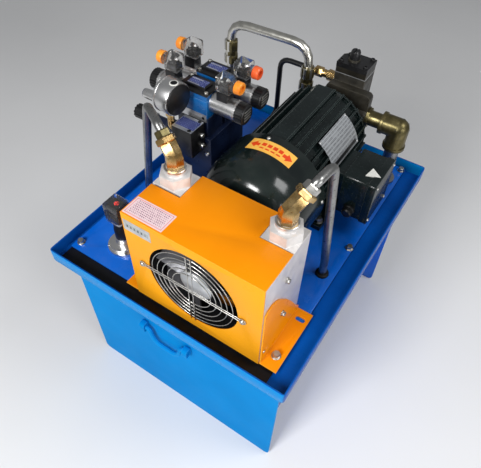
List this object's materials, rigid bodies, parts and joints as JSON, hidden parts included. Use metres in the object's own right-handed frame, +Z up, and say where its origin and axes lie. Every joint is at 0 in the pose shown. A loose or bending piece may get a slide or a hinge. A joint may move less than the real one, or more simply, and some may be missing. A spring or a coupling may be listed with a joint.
{
  "type": "hydraulic power unit",
  "caption": "Hydraulic power unit: an oil tank in a drip tray carrying a motor and pump, an air-blast oil cooler, a valve stack, pipework, a gauge and a level switch.",
  "frame": {"origin": "centre of the footprint at the floor, midway between the tray's sides and between its front and rear", "axes": "+Z up, -Y towards the front where the cooler and the drop handle are, +X towards the motor's terminal box"},
  "size_m": [0.52, 0.64, 0.7106],
  "materials": {
    "tank_blue": "gloss blue paint",
    "manifold_navy": "dark navy satin finish",
    "cooler_orange": "gloss orange powder coat",
    "cast_aluminium": "bare cast aluminium",
    "core_aluminium": "brazed fins",
    "tube_steel": "drawn steel tube",
    "bright_steel": "bright plated steel",
    "lamination": "stacked sheet steel",
    "brass": "yellow plated fitting",
    "olive_fitting": "olive plated fitting",
    "motor_green": "dark green enamel",
    "black_plastic": "black plastic",
    "pump_iron": "dark olive cast iron",
    "rubber": "black rubber",
    "clear_plastic": "clear moulded plastic",
    "valve_blue": "light blue enamel"
  },
  "bodies": {
    "unit": {"cooler_core": "core_aluminium", "cooler_end_tank_left": "cast_aluminium", "cooler_end_tank_right": "cast_aluminium", "cooler_fan_frame": "black_plastic", "cooler_fan_guard": "bright_steel", "cooler_foot_left": "cooler_orange", "cooler_foot_right": "cooler_orange", "cooler_shroud": "cooler_orange", "cover_gasket": "rubber", "cover_plate": "tank_blue", "discharge_fitting": "brass", "drip_tray": "tank_blue", "front_leg_plate": "tank_blue", "gauge_block": "black_plastic", "handle_bracket_left": "tank_blue", "handle_bracket_right": "tank_blue", "level_switch_head": "clear_plastic", "level_switch_stem": "bright_steel", "loop_tube": "tube_steel", "manifold_block": "manifold_navy", "motor_fan_cowl": "motor_green", "motor_frame": "motor_green", "motor_front_shield": "motor_green", "motor_rear_flange": "motor_green", "motor_stator": "lamination", "motor_terminal_box": "motor_green", "motor_terminal_lid": "motor_green", "plug_front_left": "clear_plastic", "plug_front_right": "clear_plastic", "plug_rear_left": "clear_plastic", "plug_rear_right": "clear_plastic", "pressure_gauge": "bright_steel", "pressure_tube": "black_plastic", "pump_body": "pump_iron", "pump_control_cap": "pump_iron", "rear_leg_plate": "tank_blue", "return_adapter_left": "brass", "return_adapter_right": "brass", "return_tube_left": "tube_steel", "return_tube_right": "tube_steel", "sandwich_valve_front": "manifold_navy", "sandwich_valve_rear": "manifold_navy", "solenoid_front_left": "bright_steel", "solenoid_front_right": "bright_steel", "solenoid_rear_left": "bright_steel", "solenoid_rear_right": "bright_steel", "suction_elbow": "olive_fitting", "suction_pipe": "tube_steel", "tank_body": "tank_blue", "valve_body_front": "valve_blue", "valve_body_rear": "valve_blue"},
    "motor_rotor": {"motor_rotor_shaft": "tube_steel", "motor_fan": "black_plastic", "pump_rotor": "lamination"},
    "fan_rotor": {"cooler_fan_rotor": "bright_steel"},
    "handle": {"handle_bail": "tank_blue"},
    "adjusting_screw": {"pump_adjusting_screw": "black_plastic"},
    "relief_handwheel": {"relief_knob": "black_plastic"},
    "needle": {"gauge_needle": "black_plastic"},
    "float": {"level_switch_float": "black_plastic"}
  },
  "joints": [
    {"name": "motor_spin", "type": "hinge", "parent": "unit", "child": "motor_rotor", "pos_m": [0.045, 0, 0.506], "axis": [0, 1, 0], "continuous": true},
    {"name": "cooler_fan_spin", "type": "hinge", "parent": "unit", "child": "fan_rotor", "pos_m": [0.0645, -0.2646, 0.5065], "axis": [0, 1, 0], "continuous": true},
    {"name": "handle_swing", "type": "hinge", "parent": "unit", "child": "handle", "pos_m": [-0.0115, -0.2975, 0.285], "axis": [-1, 0, 0], "range_deg": [0, 100]},
    {"name": "pressure_adjust", "type": "hinge", "parent": "unit", "child": "adjusting_screw", "pos_m": [0.054, 0.285, 0.64], "axis": [0, 0, 1], "range_deg": [-180, 180]},
    {"name": "relief_adjust", "type": "hinge", "parent": "unit", "child": "relief_handwheel", "pos_m": [-0.24, -0.033, 0.564], "axis": [1, 0, 0], "range_deg": [-150, 150]},
    {"name": "gauge_reading", "type": "hinge", "parent": "unit", "child": "needle", "pos_m": [-0.14152, -0.07303, 0.6684], "axis": [0.994, -0.1098, 0], "range_deg": [0, 270], "stiffness_Nm_per_rad": 0.0005},
    {"name": "float_travel", "type": "slide", "parent": "unit", "child": "float", "axis": [0, 0, 1], "range_m": [0, 0.159]}
  ]
}
